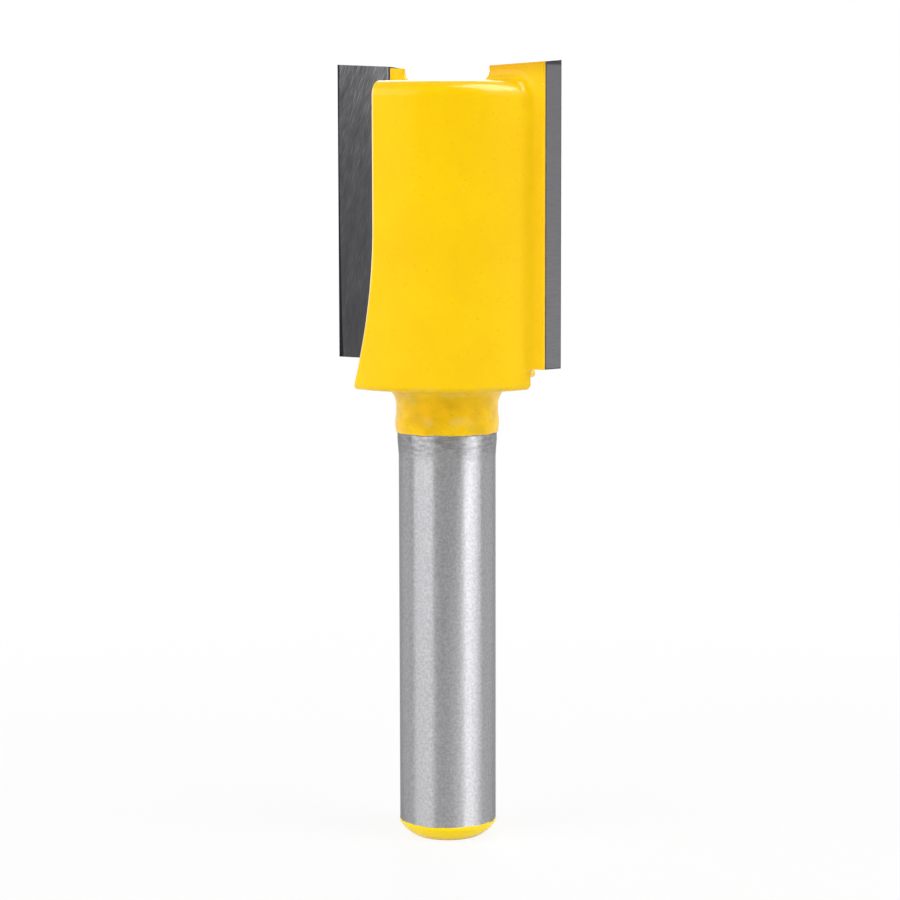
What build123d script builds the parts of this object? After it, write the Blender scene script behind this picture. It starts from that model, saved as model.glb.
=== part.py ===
from build123d import *
import os
from math import cos, hypot, radians, sin, tan

# Straight router bit with two cutting tips, standing on the end of its shank.
# The origin is the middle of the shank's end face, +Z runs up the axis to the cutting end,
# and the two cutting edges lie in the XZ plane. Seen from the cutting end the bit turns
# counterclockwise, so the tip on +X moves towards +Y. Lengths are in millimetres, angles in degrees.

# Shank
shank_radius = 4.0
shank_length = 31.8          # ground length, from the end face up to the taper
end_face_radius = 2.8
end_round_height = 1.1
end_round_bulge = 0.12       # how far the rounded end stands outside its straight chamfer
foot_coat_height = 1.3       # the end of the shank is dipped this far
foot_coat = 0.03             # thickness of the dip coat there

# Neck
taper_length = 1.3
bare_neck_radius = 4.1       # rough turned, just below the coat
bare_neck_length = 0.6
neck_coat = 0.1              # thickness of the coat at its edge on the neck
neck_bead_length = 1.6       # the coat swells into a low bead above its edge
neck_bead_bulge = 0.08
neck_length = 5.95           # from the top of the shank to the underside of the head
neck_fillet = 1.8

# Core of the head
core_rim_round = 0.5
core_top_round = 1.2

# Cutting tips
cutting_radius = 11.0
cutting_length = 24.4
collar_height = 1.7          # from the underside of the head up to the foot of the tips
tip_stand = 1.6              # how far the tips stand out of the core, to the side and at the top
tip_width = 5.2
tip_thickness = 1.6
braze_film = 0.12
clearance_angle = 13.5       # of the outer flank
dish_angle = 2.7             # the end edges fall towards the axis
end_relief_angle = 4.0
rake_stand = 0.1             # how far a tip's face stands proud of the flute wall

# Wings behind the tips
wing_backing = 0.25          # steel behind the outer edge of a tip
wing_inner_x = 4.15          # where the ridge on top of the core ends, on its face side
wing_end_slant = 36.0        # that end leans outwards towards the back of the wing
wing_corner_round = 0.25
wing_root_fillet = 0.9       # between the back of a wing and the core
wing_foot_fillet = 0.4       # under the foot of a wing

# Flutes
flute_corner_x = 3.15        # inner corner of the flute, from the axis
flute_corner_fillet = 1.5
flute_floor_slant = 14.3     # the floor opens this far past a right angle
flute_cutter_radius = 38.0   # the flute runs out on this radius
flute_straight = 12.9        # straight part of the flute, from the top of the tips down
heel_round = 0.2             # on the edge where the flute's floor meets the side of the core

# Heights and depths that follow from the sizes above
taper_top = shank_length + taper_length
neck_coat_edge = taper_top + bare_neck_length
coated_neck_radius = bare_neck_radius + neck_coat
head_base = shank_length + neck_length
rim_top = head_base + core_rim_round
tip_foot = head_base + collar_height
tip_top = tip_foot + cutting_length
core_radius = cutting_radius - tip_stand
core_top = tip_top - tip_stand
seat_depth = tip_thickness + braze_film
wing_depth = seat_depth + wing_backing
tip_inner_x = cutting_radius - tip_width
runout_height = tip_top - flute_straight
flank_slope = tan(radians(clearance_angle))
wing_front = core_radius / 9        # in front of the flute wall, cut back with the flute
near = 0.01                         # two heights or radii this close are the same
outside = cutting_radius + 3        # clear of every surface of the head
above = tip_top + 2                 # clear of the top
runout_turn = 35                    # enough of the cutter's circle to leave the head


def quarter(start, end, hollow_towards):
    """Quarter circle between two points; its centre is the corner nearest the hollow side."""
    centre = hollow_towards
    radius = abs(start[0] - centre[0]) + abs(start[1] - centre[1])
    middle = (start[0] + end[0] - 2 * centre[0], start[1] + end[1] - 2 * centre[1])
    scale = radius / hypot(*middle)
    through = (centre[0] + middle[0] * scale, centre[1] + middle[1] * scale)
    return ThreePointArc(start, through, end)


def turned(outline):
    """Solid turned from a closed outline of radius and height."""
    return revolve(Plane.XZ * make_face(Curve() + outline), Axis.Z)


def shank_and_rim():
    """Shank, neck and the lowest slice of the head, from the end face to above the rim's round."""
    foot_radius = shank_radius + foot_coat
    coat_start = (coated_neck_radius, neck_coat_edge + neck_coat)
    bead_end = (coated_neck_radius, neck_coat_edge + neck_coat + neck_bead_length)
    fillet_start = (coated_neck_radius, head_base - neck_fillet)
    fillet_end = (coated_neck_radius + neck_fillet, head_base)
    rim_start = (core_radius - core_rim_round, head_base)
    rim_end = (core_radius, rim_top)
    return turned([
        Line((0, 0), (end_face_radius, 0)),
        SagittaArc((end_face_radius, 0), (foot_radius, end_round_height), -end_round_bulge),
        Polyline(
            (foot_radius, end_round_height),
            (foot_radius, foot_coat_height),
            (shank_radius, foot_coat_height + foot_coat),
            (shank_radius, shank_length),
            (bare_neck_radius, taper_top),
            (bare_neck_radius, neck_coat_edge),
            coat_start,
        ),
        SagittaArc(coat_start, bead_end, -neck_bead_bulge),
        Line(bead_end, fillet_start),
        quarter(fillet_start, fillet_end, (fillet_end[0], fillet_start[1])),
        Line(fillet_end, rim_start),
        quarter(rim_start, rim_end, (rim_start[0], rim_end[1])),
        Polyline(rim_end, (0, rim_top), (0, 0)),
    ])


def core():
    """The core above the rim, with its rounded top edge."""
    side = (core_radius, core_top - core_top_round)
    top = (core_radius - core_top_round, core_top)
    return turned([
        Line((core_radius, rim_top), side),
        quarter(side, top, (top[0], side[1])),
        Polyline(top, (0, core_top), (0, rim_top), (core_radius, rim_top)),
    ])


def under_end_plane(solid, relief, drop):
    """Cut a wing or tip to its end: a plane dished towards the axis and relieved to the back."""
    across = Vector(cos(radians(dish_angle)), 0, sin(radians(dish_angle)))
    back = Vector(0, cos(radians(relief)), sin(radians(relief)))
    end_plane = Plane(origin=(cutting_radius, 0, tip_top - drop), x_dir=across, z_dir=across.cross(back))
    return split(solid, bisect_by=end_plane, keep=Keep.BOTTOM)


def flank_x(depth):
    """Where the relieved flank lies, this far behind the cutting edge."""
    return cutting_radius - depth * flank_slope


def wing_blank():
    """The wing on +X: a thin ridge out of the core's side and top, left thick for the flute to face."""
    end_slope = tan(radians(wing_end_slant))
    front_lean = (wing_front + rake_stand) * end_slope
    back_lean = (wing_depth - rake_stand) * end_slope
    plan = Polyline(
        (wing_inner_x - front_lean, wing_front),
        (flank_x(-wing_front), wing_front),
        (flank_x(wing_depth), -wing_depth),
        (wing_inner_x + back_lean, -wing_depth),
        close=True,
    )
    ridge = Pos(Z=rim_top) * extrude(make_face(plan), above - rim_top)
    inner_corners = ridge.edges().filter_by(Axis.Z).sort_by(Axis.X)[:2]
    ridge = fillet(inner_corners, wing_corner_round)
    return under_end_plane(ridge, 0, seat_depth * tan(radians(end_relief_angle)))


def root_edges(head):
    """Edges where the wings rise from the side and the top of the core."""
    found = []
    for edge in head.edges():
        middle = edge.position_at(0.5)
        on_core = hypot(middle.X, middle.Y) < core_radius + near and middle.Z < core_top + near
        on_wing = abs(middle.X) > wing_inner_x - wing_front and abs(middle.Y) < wing_depth + near
        if on_core and on_wing and middle.Z > rim_top + near:
            found.append(edge)
    return found


def below_wings():
    """Turned clear below the wings' feet, down to the rim, with a small fillet under each foot."""
    corner = (core_radius, tip_foot - wing_foot_fillet)
    foot = (core_radius + wing_foot_fillet, tip_foot)
    return turned([
        Line((core_radius, rim_top), corner),
        quarter(corner, foot, (foot[0], corner[1])),
        Polyline(foot, (outside, tip_foot), (outside, rim_top), (core_radius, rim_top)),
    ])


def winged_head():
    """Core and wings as one piece, with a fillet round the root of each wing."""
    wing = wing_blank()
    head = core() + wing + Rot(Z=180) * wing
    head = fillet(root_edges(head), wing_root_fillet)
    return head - below_wings()


def flute_cutter():
    """What the flute in front of the tip on +X takes out, with the cutter's run-out below."""
    floor_run = outside * tan(radians(flute_floor_slant))
    plan = make_face(
        Polyline(
            (flute_corner_x, -rake_stand),
            (outside, -rake_stand),
            (outside, outside),
            (flute_corner_x - floor_run, outside),
            close=True,
        )
    )
    corner = plan.vertices().sort_by_distance((flute_corner_x, -rake_stand, 0))[0]
    plan = Pos(Z=runout_height) * fillet(corner, flute_corner_fillet)
    cutter_axis = Axis((flute_corner_x + flute_cutter_radius, 0, runout_height), (0, -1, 0))
    return extrude(plan, above - runout_height) + revolve(plan, cutter_axis, runout_turn)


def tip_pocket():
    """The seat milled for the tip on +X, right down through the collar."""
    inner = tip_inner_x - braze_film
    pocket = Box(outside - inner, outside, above - head_base, align=(Align.MIN, Align.MIN, Align.MIN))
    return Pos(inner, -seat_depth, head_base) * pocket


def tip_prism(inner_x, back_depth, front_depth):
    """A slab with the tip's flank and end planes, from the foot of the tips up."""
    plan = Polyline(
        (inner_x, -front_depth),
        (flank_x(front_depth), -front_depth),
        (flank_x(back_depth), -back_depth),
        (inner_x, -back_depth),
        close=True,
    )
    slab = Pos(Z=tip_foot) * extrude(make_face(plan), above - tip_foot)
    return under_end_plane(slab, end_relief_angle, 0)


def cutting_tip():
    """The carbide tip on +X."""
    return tip_prism(tip_inner_x, tip_thickness, 0)


def braze_seam():
    """The braze behind the tip on +X and along its inner side."""
    film = tip_prism(tip_inner_x - braze_film, seat_depth, rake_stand)
    return film - tip_prism(tip_inner_x, tip_thickness, -outside)


def heel_edges(body):
    """The long edges on the side of the core where the flutes end."""
    found = []
    for edge in body.edges():
        ends = (edge.position_at(0), edge.position_at(1))
        on_side = all(abs(hypot(end.X, end.Y) - core_radius) < near for end in ends)
        rise = abs(ends[0].Z - ends[1].Z)
        if on_side and rise > core_rim_round and abs(ends[0].Y) > core_radius / 2:
            found.append(edge)
    return found


def cut_twice(body, cut):
    """Take a cut out of the body, and its half turn about the axis."""
    return body - cut - Rot(Z=180) * cut


def bit_body():
    """The steel body: shank, neck and winged head, with the flutes and tip pockets milled out."""
    body = cut_twice(shank_and_rim() + winged_head(), flute_cutter())
    body = fillet(heel_edges(body), heel_round)
    return cut_twice(body, tip_pocket())


def main():
    os.makedirs("parts", exist_ok=True)
    nodes = {"bit_body": bit_body()}
    for number, turn in ((1, 0), (2, 180)):
        nodes[f"cutting_tip_{number}"] = Rot(Z=turn) * cutting_tip()
        nodes[f"braze_seam_{number}"] = Rot(Z=turn) * braze_seam()
    for name, solid in nodes.items():
        export_step(solid, f"parts/{name}.step")
        print(name, len(solid.solids()), "solid", round(solid.volume, 2), "mm3")


main()
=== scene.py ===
# %% [markdown]
# # A straight router bit
#
# The object is a cutter for wood: a ground steel shank that a collet grips, a thick head with two
# flutes milled into it, and a carbide cutting tip brazed onto each of its two wings. The head, the
# neck and the end of the shank have been dipped in yellow lacquer. The rest of the steel is bare.
#
# The CAD model already holds every solid at its real size, so this lesson is about the last layer:
# how lacquer, ground steel, carbide and braze look, and how a studio is lit so that they show it.
#
# The model is loaded first and measured. Loading leaves its pieces selected, and an operator would
# act on all of them, so they are deselected before anything is added.

# %% Load the frame
from math import cos, pi, radians, sin, tan

import bpy
from mathutils import Matrix, Vector


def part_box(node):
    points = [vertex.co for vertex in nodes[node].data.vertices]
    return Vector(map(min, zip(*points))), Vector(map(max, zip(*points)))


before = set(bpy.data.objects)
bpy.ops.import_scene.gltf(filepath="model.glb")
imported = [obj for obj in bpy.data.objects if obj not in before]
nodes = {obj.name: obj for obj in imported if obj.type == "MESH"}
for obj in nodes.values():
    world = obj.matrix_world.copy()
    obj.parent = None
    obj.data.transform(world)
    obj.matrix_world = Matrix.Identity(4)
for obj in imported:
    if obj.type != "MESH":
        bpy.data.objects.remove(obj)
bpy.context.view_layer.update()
for thing in bpy.context.selected_objects:
    thing.select_set(False)
print("pieces:", sorted(nodes))

# %% [markdown]
# ## Where things are
#
# A finish follows the object: the lacquer ends at a height on the neck, and the dark land lies
# along a cutting edge. The places on the tips are read from the frame, so that the finish can't
# drift away from the solid. The few others are named beside the finish that needs them. The frame
# is in metres, but scratches and noise are easier to judge in millimetres, so the finishes use
# those.

# %% Places on the tips
MM = 0.001
tip_low, tip_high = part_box("cutting_tip_1")
tip_foot, tip_top = tip_low.z / MM, tip_high.z / MM
tip_inner, cutting_radius = tip_low.x / MM, tip_high.x / MM
print("tips from", round(tip_foot, 2), "to", round(tip_top, 2), "mm up")
print("and from", round(tip_inner, 2), "to", round(cutting_radius, 2), "mm off the axis")

# %% [markdown]
# ## Shader arithmetic
#
# A procedural finish is mostly sums on positions: how far above the edge is this point, how much
# noise is added to it. Building each sum by hand from Math nodes is slow to write and slow to read.
# So a socket is wrapped in a small class whose `+`, `-`, `*` and `/` add the Math node themselves,
# and a formula in Python becomes the same formula in nodes.

# %% A socket that takes part in sums
class Wire:
    """An output socket of a node tree. Sums on it add Math nodes to that tree."""

    def __init__(self, board, socket):
        self.board = board
        self.socket = socket

    def sum(self, operation, *values, clamp=False):
        settings = {"operation": operation, "use_clamp": clamp}
        return self.board.node("ShaderNodeMath", settings, dict(enumerate(values)))

    def __add__(self, other):
        return self.sum("ADD", self, other)

    def __radd__(self, other):
        return self.sum("ADD", other, self)

    def __sub__(self, other):
        return self.sum("SUBTRACT", self, other)

    def __rsub__(self, other):
        return self.sum("SUBTRACT", other, self)

    def __mul__(self, other):
        return self.sum("MULTIPLY", self, other)

    def __rmul__(self, other):
        return self.sum("MULTIPLY", other, self)

    def __truediv__(self, other):
        return self.sum("DIVIDE", self, other)

    def __rtruediv__(self, other):
        return self.sum("DIVIDE", other, self)

    def __abs__(self):
        return self.sum("ABSOLUTE", self)

    def sign(self):
        return self.sum("SIGN", self)

    def power(self, exponent):
        return self.sum("POWER", self, exponent)

    def larger(self, other):
        return self.sum("MAXIMUM", self, other)

    def above(self, level, blur):
        """0 well below the level and 1 well above it, with a soft step as wide as blur between."""
        return self.sum("ADD", (self - level) / blur, 0.5, clamp=True)

    def below(self, level, blur):
        """1 well below the level and 0 well above it."""
        return self.sum("SUBTRACT", 0.5, (self - level) / blur, clamp=True)


# %% [markdown]
# ## Adding nodes
#
# In the shader editor a node is picked from a menu, set up, and joined to others by dragging. One
# method does the same here: it takes the kind of node, its settings, and a value or a wire for each
# socket. A socket goes by its label, or by its number where several share a label. The class
# around it holds the tree that the nodes go into, so it serves materials and the world alike.

# %% A node tree
class Board:
    """The nodes of a material or of the world, emptied and ready to be wired."""

    def __init__(self, owner):
        self.owner = owner
        owner.use_nodes = True
        self.tree = owner.node_tree
        self.tree.nodes.clear()

    def node(self, kind, settings=None, inputs=None, output=0):
        """Add a node: its settings first, then a value or a wire for each of its sockets."""
        node = self.tree.nodes.new(kind)
        for name, value in (settings or {}).items():
            setattr(node, name, value)
        for name, value in (inputs or {}).items():
            if isinstance(value, Wire):
                self.tree.links.new(value.socket, node.inputs[name])
            else:
                node.inputs[name].default_value = value
        return Wire(self, node.outputs[output]) if node.outputs else node

    def mix(self, share, first, second):
        """The first shader where share is 0 and the second where it is 1."""
        return self.node("ShaderNodeMixShader", {}, {0: share, 1: first, 2: second})

    def finish(self, kind, shader):
        """Join the shader to the output, and hand the material or world back."""
        self.node(kind, {}, {"Surface": shader})
        print(self.owner.name, "has", len(self.tree.nodes), "nodes")
        return self.owner


# %% [markdown]
# ## Patterns that stay on the object
#
# Object coordinates move with the object and are the same from every side, so a pattern on them
# can't slide. Noise is one tool for almost everything: grain, dust and peel are the same noise at
# different sizes, and a scratch is noise that one squeezed coordinate draws out. A relief turns a
# height into a bent normal, which is right for marks of a few hundredths of a millimetre. Anything
# larger is in the solids. From here on, f stands for the finish that is being made.

# %% A finish, in millimetres on the object
class Finish(Board):
    """A material of the bit, with positions in the object's own coordinates."""

    def __init__(self, name):
        super().__init__(bpy.data.materials.new(name))
        metres = self.node("ShaderNodeTexCoord", output="Object")
        scaling = {"operation": "SCALE"}
        place = self.node("ShaderNodeVectorMath", scaling, {0: metres, "Scale": 1 / MM})
        self.x, self.y, self.z = (
            self.node("ShaderNodeSeparateXYZ", {}, {0: place}, axis) for axis in "XYZ"
        )

    def noise(self, size, detail, x=None, y=None, z=None):
        """Noise from 0 to 1 with features of about this size; a smaller x draws them out in x."""
        given = (x or self.x, y or self.y, z or self.z)
        place = self.node("ShaderNodeCombineXYZ", {}, dict(enumerate(given)))
        inputs = {"Vector": place, "Scale": 1 / size, "Detail": detail}
        return self.node("ShaderNodeTexNoise", {}, inputs)

    def blend(self, share, first, second):
        """The first colour where share is 0 and the second where it is 1."""
        settings = {"data_type": "RGBA", "clamp_factor": True}
        return self.node("ShaderNodeMix", settings, {0: share, 6: first, 7: second}, 2)

    def relief(self, height, depth):
        """A normal from a height between 0 and 1, where 1 stands this many mm high."""
        inputs = {"Height": height, "Distance": depth * MM, "Strength": 1.0}
        return self.node("ShaderNodeBump", {}, inputs)

    def surface(self, **sockets):
        """A Principled shader; underscores in names stand for spaces."""
        inputs = {name.replace("_", " "): value for name, value in sockets.items()}
        return self.node("ShaderNodeBsdfPrincipled", {}, inputs)

    def done(self, shader):
        """The finished material."""
        return self.finish("ShaderNodeOutputMaterial", shader)


# %% [markdown]
# Colours are easiest to choose as the 0 to 255 values of a screen. Shaders reckon in amounts of
# light, which don't grow in step with those values, so each colour goes through the sRGB rule.

# %% Screen colours
def colour(red, green, blue):
    """A colour as its 0 to 255 screen values, turned into the linear values that shaders use."""
    def linear(value):
        share = value / 255
        return share / 12.92 if share <= 0.04045 else ((share + 0.055) / 1.055) ** 2.4
    return (linear(red), linear(green), linear(blue), 1.0)


print("a screen value of 128 is", round(colour(128, 128, 128)[0], 3), "of full light")

# %% [markdown]
# ## Yellow lacquer
#
# The lacquer is a flat, strong yellow with a soft shine, so what makes it real is small. It could
# be painted on an image, but that needs an unwrapped mesh and shows seams, and noise does neither.
# It is built up in layers. First comes the colour of the coat, which varies a little and is deeper
# on the tops of the wings. It is also brighter at the foot, which is painted light: the end of the
# shank faces down and gets little light.

# %% Colour of the coat, with painted light at the foot
core_top = 62.25         # mm, the flat top of the head between the wings
foot_edge = 1.34         # mm, upper edge of the lacquer on the shank's end


def coat_colour_and_foot_light(f):
    """Yellow with faint blotches, deeper on the wings' tops, and brighter at the foot as painted
    light.
    """
    slow_change = f.noise(5.0, 2.0).above(0.5, 0.5)
    yellow = f.blend(slow_change, colour(254, 211, 0), colour(251, 204, 0))
    blotch = f.noise(2.2, 3.0, z=f.z * 0.6).above(0.6, 0.2)
    yellow = f.blend(blotch * 0.25, yellow, colour(246, 193, 0))
    wing_top = f.z.above((tip_top + core_top) / 2, 1.2) * abs(f.y).above(1.2, 0.6)
    yellow = f.blend(wing_top * 0.8, yellow, colour(222, 168, 0))
    # painted light: the lacquer at the downward-facing foot is lightened
    return f.blend(f.z.below(foot_edge + 0.5, 0.2), yellow, colour(255, 226, 0))


# %% [markdown]
# The neck is grubby, and small dark specks have stuck in it. It also has paler patches, which are
# painted highlights where the lumpy coat catches the light. Each of the three is noise of its own
# size, shifted so that no two fall together, and a mask on height keeps them all to the neck.

# %% Wear and painted highlights on the neck
neck_edge = 33.80        # mm, lower edge of the lacquer on the neck
head_base = 37.75        # mm, underside of the head


def neck_wear_and_highlights(f, yellow, on_neck):
    """The yellow with grime, painted highlight patches and specks over it where on_neck is 1."""
    grime = on_neck * f.noise(1.9, 3.0, z=f.z * 1.4).above(0.5, 0.3)
    yellow = f.blend(grime * 0.55, yellow, colour(206, 166, 0))
    # pale patches: painted highlights where the lumpy coat catches the light
    lump_highlight = on_neck * f.noise(2.6, 5.0, x=f.x + 9.0, z=f.z * 1.6).above(0.57, 0.14)
    yellow = f.blend(lump_highlight * 0.4, yellow, colour(244, 222, 120))
    specks = on_neck * f.noise(0.2, 2.0, y=f.y + 4.0).above(0.70, 0.08)
    return f.blend(specks * 0.45, yellow, colour(160, 122, 10))


# %% [markdown]
# The long edge where a flute's floor meets the side of the head is its heel. A pale highlight runs
# along it, and that highlight is painted into the colour here. The mask repeats the shape of that
# floor: a plane that leans back, and below some height curves outwards on the radius of the milling
# cutter. The size and the sign of y serve both flutes with one formula, because each flute is the
# half turn of the other.

# %% Painted highlight along the heels
core_radius = 9.4        # mm
flute_corner = 3.15      # mm, inner corner of a flute, off the axis
flute_slant = 14.3       # degrees, its floor leans back by this
runout_top = 50.95       # mm, below this height the floor curves outwards
runout_radius = 38.0     # mm


def painted_heel_highlight(f):
    """1 along the heels of both flutes, where the highlight is painted, and 0 elsewhere."""
    below_top = (runout_top - f.z).larger(0.0)
    runout = below_top * below_top / (2 * runout_radius)
    floor_x = flute_corner + runout - abs(f.y) * tan(radians(flute_slant))
    behind_heel = floor_x - f.x * f.y.sign()
    from_axis = (f.x * f.x + f.y * f.y).power(0.5)
    heel = behind_heel.below(0.15, 0.10) * from_axis.above(core_radius - 0.2, 0.1)
    return heel * f.z.above(head_base + 0.3, 0.3)


# %% [markdown]
# The rest goes all over: specks of dust under the surface, a few pale nicks on the head, and the
# faint orange peel of a dipped coat, which bends the reflections a little. The neck is duller than
# the head. The specular tint colours what the lacquer mirrors, so that a white room doesn't wash
# the yellow out.

# %% Lacquer
mirrored_tint = (0.9, 0.3, 0.32, 1.0)


def lacquer(f):
    """The lacquer as a shader of this finish."""
    on_neck = f.z.above(neck_edge, 0.5) * f.z.below(head_base + 0.2, 0.7)
    yellow = neck_wear_and_highlights(f, coat_colour_and_foot_light(f), on_neck)
    # painted highlight along the heels of the flutes
    yellow = f.blend(painted_heel_highlight(f) * 0.85, yellow, colour(255, 240, 196))
    dust = f.noise(0.2, 1.0, x=f.x + 5.0).above(0.72, 0.08)
    yellow = f.blend(dust * 0.3, yellow, colour(214, 160, 8))
    nick = f.noise(0.55, 2.0, y=f.y - 7.0).above(0.78, 0.03) * f.z.above(head_base + 2.0, 1.0)
    yellow = f.blend(nick * 0.7, yellow, colour(255, 232, 150))
    peel = f.noise(0.9, 2.0) * 0.6 + f.noise(0.28, 1.0) * 0.2
    return f.surface(
        Base_Color=yellow,
        Roughness=0.16 + 0.08 * f.noise(2.0, 3.0) + 0.26 * on_neck * f.noise(0.8, 3.0),
        Specular_Tint=mirrored_tint,
        Normal=f.relief(peel + dust * 0.4 + on_neck * f.noise(0.4, 3.0), 0.016),
    )


# %% [markdown]
# ## Ground steel
#
# The shank was ground between two wheels, so its scratches run round it. They are too fine to draw
# one by one. Anisotropy on the shader does their work: it stretches every reflection along the
# shank, which gives the straight light bands. On a metal the specular tint colours what is mirrored
# at a flat angle. A grey there darkens the two sides of the shank, which would otherwise melt into
# a white background. A little grain keeps the steel from looking like chrome, and just under the
# lacquer it is only turned, and rougher. The darker patches there are partly scuffs and partly
# painted shade under the lacquer's edge.

# %% Bare steel
ground_end = 31.8        # mm, the fine grinding of the shank ends here
side_tint = (0.5, 0.5, 0.5, 1.0)
along_shank = 0.25       # of a turn: the way that the reflections are stretched


def ground_steel(f):
    """The bare steel as a shader of this finish."""
    turned = f.z.above(ground_end + 0.3, 1.2)
    grain = f.noise(0.2, 3.0)
    ripple = f.noise(0.3, 2.0, x=f.x * 0.6 + 3.0, y=f.y * 0.6)
    rings = f.noise(0.10, 2.0, x=f.x * 0.08, y=f.y * 0.08)
    scuffs_and_shade = f.noise(0.35, 4.0, x=f.x * 0.5, y=f.y * 0.5, z=f.z * 1.6)
    tone = f.blend(grain.above(0.5, 0.3), colour(166, 166, 169), colour(187, 187, 190))
    # darker patches under the lacquer: partly scuffs, partly painted shade under the lacquer's edge
    tone = f.blend(turned * scuffs_and_shade.above(0.5, 0.2) * 0.45, tone, colour(118, 117, 118))
    marks = grain * 0.5 + ripple * 0.5 + rings * 0.3 + turned * scuffs_and_shade * 1.5
    return f.surface(
        Base_Color=tone,
        Metallic=1.0,
        Roughness=0.29 + 0.04 * ripple + 0.05 * turned,
        Specular_Tint=side_tint,
        Anisotropic=0.95,
        Anisotropic_Rotation=along_shank,
        Normal=f.relief(marks, 0.012),
    )


# %% [markdown]
# ## One body, two surfaces
#
# The body is one piece of steel, so it gets one material with both surfaces in it. A mask says
# where the lacquer is, from the height of a point, with some noise for the uneven line that a dip
# leaves, and a Mix Shader lays the lacquer over the steel there. Splitting the mesh at the edge
# would give a straight line instead, and a second piece that the real bit doesn't have.

# %% Lacquer over steel
def dipped_steel():
    """The finish of the body: lacquer above the neck's edge and below the foot's."""
    f = Finish("dipped_steel")
    ragged = f.z + (0.26 * (f.noise(1.6, 3.0) - 0.5) + 0.14 * (f.noise(0.3, 2.0) - 0.5))
    coated = ragged.above(neck_edge, 0.03).larger(ragged.below(foot_edge, 0.03))
    return f.done(f.mix(coated, ground_steel(f), lacquer(f)))


body_finish = dipped_steel()

# %% [markdown]
# ## Ground carbide
#
# The tips are sintered carbide, ground on a diamond wheel that leaves fine scratches. On the broad
# face the scratches slant and show most near the top. They could be cut into the mesh, but they are
# hundredths of a millimetre wide, so a squeezed noise draws them in colour and relief. The face is
# also lighter towards the top and towards its inner edge, which is a painted reflection, and a pale
# painted highlight runs along that inner edge. A dark band runs along the cutting edge and gets
# wider towards the foot. All this is placed by the distance from the axis, which is the same on
# either side, so one finish fits both tips.

# %% Broad face
def broad_face(f, height, streak, brushed):
    """The colour of the broad face, from height 0 at the foot to 1 at the top."""
    reach = abs(f.x)
    inner = reach.below(tip_inner + 1.2, 2.4)
    # painted reflection: the face is lighter towards the top and towards its inner edge
    light = (height.power(5.0) * 0.55 + inner * height * 0.45).larger(0.0)
    face = f.blend(light, colour(74, 73, 75), colour(121, 120, 123))
    strong = 0.25 + 0.75 * height.power(3.0)
    face = f.blend(streak.above(0.5, 0.3) * strong * 0.6, face, colour(48, 48, 50))
    face = f.blend(streak.below(0.40, 0.2) * strong * 0.3, face, colour(150, 149, 152))
    face = f.blend(brushed.above(0.54, 0.3) * 0.4, face, colour(52, 52, 55))
    # painted highlight: a pale line along the tip's inner edge
    face = f.blend(reach.below(tip_inner + 0.07, 0.05) * 0.7, face, colour(160, 160, 166))
    # a dark band along the cutting edge, wider towards the foot
    edge_band_width = 0.13 + 0.10 * height.power(8.0) + 0.28 * (1.0 - height).power(3.0)
    edge_band = (reach + edge_band_width).above(cutting_radius, 0.05)
    return f.blend(edge_band * 0.85, face, colour(24, 24, 26))


# %% [markdown]
# The scratches on the outer flank lie level, and it is a little lighter at the foot. The two ends
# of a tip are darker than the rest. The broad face lies in the plane where y is 0, so a mask on y
# tells it from all the other sides. Carbide has the dull shine of a hard metal, so the shader is
# metallic and fairly rough.

# %% Flank, ends and shader
def flank_and_ends(f, height, level):
    """The colour of every side of a tip but the broad one."""
    flank = f.blend(height, colour(122, 122, 125), colour(103, 103, 105))
    flank = f.blend(level.above(0.5, 0.4) * 0.4, flank, colour(92, 92, 95))
    ends = f.z.above(tip_top - 0.38, 0.2).larger(f.z.below(tip_foot + 0.08, 0.05))
    return f.blend(ends * 0.8, flank, colour(48, 48, 50))


def ground_carbide():
    """The finish of both tips."""
    f = Finish("ground_carbide")
    rise = f.z - tip_foot
    height = rise / (tip_top - tip_foot)
    across = abs(f.x) + rise * 0.10 + rise * rise * 0.006
    streak = f.noise(0.09, 3.0, x=across, z=f.z * 0.08)
    brushed = f.noise(0.8, 2.0, x=across, z=f.z * 0.2)
    level = f.noise(0.09, 3.0, x=f.x * 0.08, y=f.y * 0.08)
    on_face = abs(f.y).below(0.05, 0.04)
    face = broad_face(f, height, streak, brushed)
    return f.done(f.surface(
        Base_Color=f.blend(on_face, flank_and_ends(f, height, level), face),
        Metallic=1.0,
        Roughness=0.34 + 0.12 * level,
        Normal=f.relief(on_face * streak + (1.0 - on_face) * level, 0.006),
    ))


tip_finish = ground_carbide()

# %% [markdown]
# ## Braze
#
# The braze shows as a hairline round each tip. The heat has tinted it blue and purple, and it is
# darker than the steel. At that width a slow change between two tints and a slight unevenness are
# all that can be seen.

# %% Heat-tinted braze
def tinted_braze():
    """The finish of both films of braze."""
    f = Finish("tinted_braze")
    tint = f.noise(0.5, 3.0)
    return f.done(f.surface(
        Base_Color=f.blend(tint.above(0.5, 0.4), colour(46, 40, 74), colour(92, 78, 84)),
        Metallic=1.0,
        Roughness=0.35 + 0.2 * tint,
        Normal=f.relief(f.noise(0.2, 2.0), 0.02),
    ))


braze_finish = tinted_braze()

# %% [markdown]
# ## Dressing the pieces
#
# The CAD pieces keep their names and their meshes, and only what is in their material slot changes.
# Both tips share one finish, and so do both films of braze, because the patterns are placed by
# coordinates and come out right on either side.

# %% Put the finishes on the pieces
finishes = {"bit_body": body_finish, "cutting_tip": tip_finish, "braze_seam": braze_finish}
for name, piece in nodes.items():
    for kind, material in finishes.items():
        if name.startswith(kind):
            piece.data.materials[0] = material
            piece.material_slots[0].link = "DATA"
            print(name, "is finished in", material.name)

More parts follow.
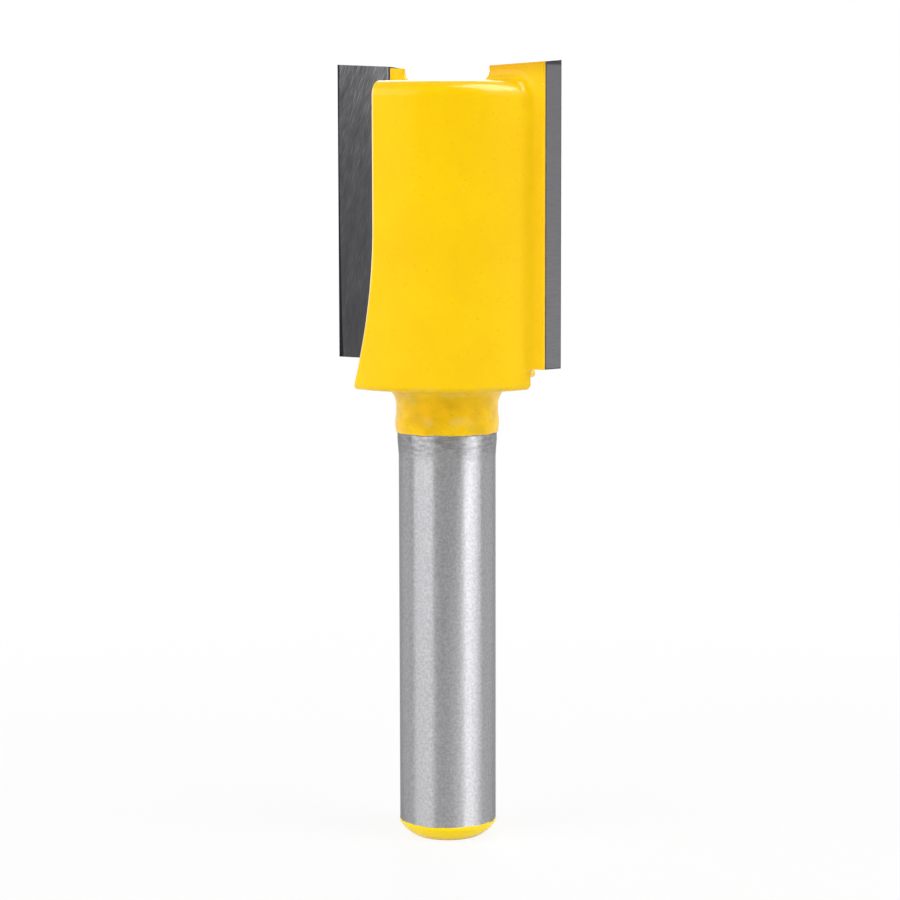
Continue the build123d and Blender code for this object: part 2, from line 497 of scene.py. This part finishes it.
# %% [markdown]
# ## Camera
#
# A long lens some 22 cm away, a little above the middle of the head, keeps the sides of the bit
# almost parallel. It stands about a third of a right angle to the right of square on to the broad
# faces, and looks slightly down, so that one tip shows its face and the other its flank.

# %% Camera
camera_heading = radians(34.29)
camera_fall = radians(6.6)
camera_roll = radians(-0.12)
camera_place = Vector((123.97, -181.39, 57.62)) * MM
focal_pixels = 2682.0    # the lens measured in pixels of a frame that is 900 wide
frame_pixels = 900

lens = bpy.data.cameras.new("camera")
lens.sensor_width = 36.0
lens.lens = focal_pixels / frame_pixels * lens.sensor_width
camera = bpy.data.objects.new("camera", lens)
bpy.context.scene.collection.objects.link(camera)
camera.matrix_world = (
    Matrix.Translation(camera_place)
    @ Matrix.Rotation(camera_heading, 4, "Z")
    @ Matrix.Rotation(radians(90) - camera_fall, 4, "X")
    @ Matrix.Rotation(camera_roll, 4, "Z")
)
bpy.context.scene.camera = camera
print("camera at", [round(v, 4) for v in camera.location], "with a lens of", round(lens.lens, 1))

# %% [markdown]
# ## Studio
#
# Polished things show the room they stand in, so the room matters as much as the lamps. The camera
# sees white all round. Reflections see the white wall behind the bit too, while the rest of the
# room is dimmer for them, which is what draws the dark band down the middle of the shank. Light for
# the matt colours comes evenly from everywhere. The Light Path node tells which kind of ray asks.

# %% A room with a white wall behind the bit
to_camera = Vector((sin(camera_heading), -cos(camera_heading), 0))
dim_room = 0.36          # the room that reflections see, against 1 for the white wall
even_fill = 0.36         # the light that matt colours get from it


def facing_wall(board, arrow):
    """How far this arrow reaches away from the camera, measured along the floor."""
    settings = {"operation": "DOT_PRODUCT"}
    return board.node("ShaderNodeVectorMath", settings, {0: arrow, 1: -to_camera}, "Value")


def for_mirrors(board):
    """1 for the rays that a shiny or a clear surface sends on, and 0 for all others."""
    glossy = board.node("ShaderNodeLightPath", output="Is Glossy Ray")
    passing = board.node("ShaderNodeLightPath", output="Is Transmission Ray")
    return glossy.larger(passing)


world = bpy.data.worlds.new("studio")
bpy.context.scene.world = world
room = Board(world)
direction = room.node("ShaderNodeTexCoord", output="Generated")
wall = facing_wall(room, direction).above(0.4, 1.0)    # fades out towards the two sides
reflected = dim_room + (1.0 - dim_room) * wall
mirrored = for_mirrors(room)
seen = room.node("ShaderNodeLightPath", output="Is Camera Ray")
level = seen + (1.0 - seen) * (mirrored * reflected + (1.0 - mirrored) * even_fill)
glow = room.node("ShaderNodeBackground", {}, {"Color": (1, 1, 1, 1), "Strength": level})
room.finish("ShaderNodeOutputWorld", glow)

# %% [markdown]
# The floor is one sheet of white paper. For the camera most of its light is its own, so that it is
# as white as the wall, but near the bit a share is left for the lamps, and that share catches the
# soft shadow round the foot. Reflections see the sheet's own white too, on the side behind the bit.

# %% Floor
floor_size = 6.0         # m
own_share = 0.85         # of the white beside the bit is the sheet's own
shadow_reach = 0.07      # m, the shadow fades out about this far from the axis
paper_white = (0.9, 0.9, 0.9, 1.0)

bpy.ops.mesh.primitive_plane_add(size=floor_size, location=(0, 0, 0))
floor = bpy.context.active_object
floor.name = "floor"

sheet = Board(bpy.data.materials.new("white_paper"))
paper = sheet.node("ShaderNodeBsdfDiffuse", {}, {"Color": paper_white})
own_light = sheet.node("ShaderNodeEmission", {}, {"Strength": 1.0})
spot = sheet.node("ShaderNodeTexCoord", output="Object")
from_bit = sheet.node("ShaderNodeVectorMath", {"operation": "LENGTH"}, {0: spot}, "Value")
share = own_share + (1.0 - own_share) * from_bit.above(shadow_reach, 0.1)
seen = sheet.node("ShaderNodeLightPath", output="Is Camera Ray")
behind = facing_wall(sheet, spot).above(0.0, 0.1)
white = seen.larger(for_mirrors(sheet) * behind) * share
lit_paper = sheet.mix(white, paper, own_light)
floor.data.materials.append(sheet.finish("ShaderNodeOutputMaterial", lit_paper))

# %% [markdown]
# Two wide soft lamps stand either side of the camera. They light the colours, and they lie in the
# steel as its two light bands. A narrower and much brighter one above the right lamp shows in
# reflections only: it puts the pale gleam on the rounded top of the head, and the matt colours,
# which it would make far too bright, don't get its light. A last one behind the bit keeps the far
# side from being dull. A lamp is given by how bright it looks, and its power follows from its size.

# %% Lamps
lit_point = Vector((0, 0, 0.045))        # the lamps stand round this point and face it


def softbox(name, bearing, rise, width, height, radiance, lights_matt=True):
    """A lamp 1 m away, seen at this bearing to the right of the camera and this far up."""
    turn = camera_heading + radians(bearing)
    level_part = cos(radians(rise))
    away = Vector((sin(turn) * level_part, -cos(turn) * level_part, sin(radians(rise))))
    light = bpy.data.lights.new(name, "AREA")
    light.shape = "RECTANGLE"
    light.size = width
    light.size_y = height
    light.energy = radiance * width * height * pi
    lamp = bpy.data.objects.new(name, light)
    bpy.context.scene.collection.objects.link(lamp)
    lamp.location = lit_point + away
    lamp.rotation_mode = "QUATERNION"
    lamp.rotation_quaternion = away.to_track_quat("Z", "Y")
    lamp.visible_diffuse = lights_matt
    print("lamp", name, [round(v, 3) for v in lamp.location], round(light.energy, 3), "W")


softbox("right_box", bearing=65, rise=30, width=0.85, height=0.9, radiance=2.5)
softbox("left_box", bearing=-61, rise=26, width=1.0, height=0.8, radiance=2.75)
softbox("bright_strip", bearing=66, rise=55, width=0.6, height=0.9, radiance=13.5,
        lights_matt=False)
softbox("back_box", bearing=172, rise=22, width=0.5, height=0.7, radiance=3.2)

# %% [markdown]
# ## View transform
#
# The Standard view transform shows each colour as it was written.

# %% View transform
bpy.context.scene.view_settings.view_transform = "Standard"
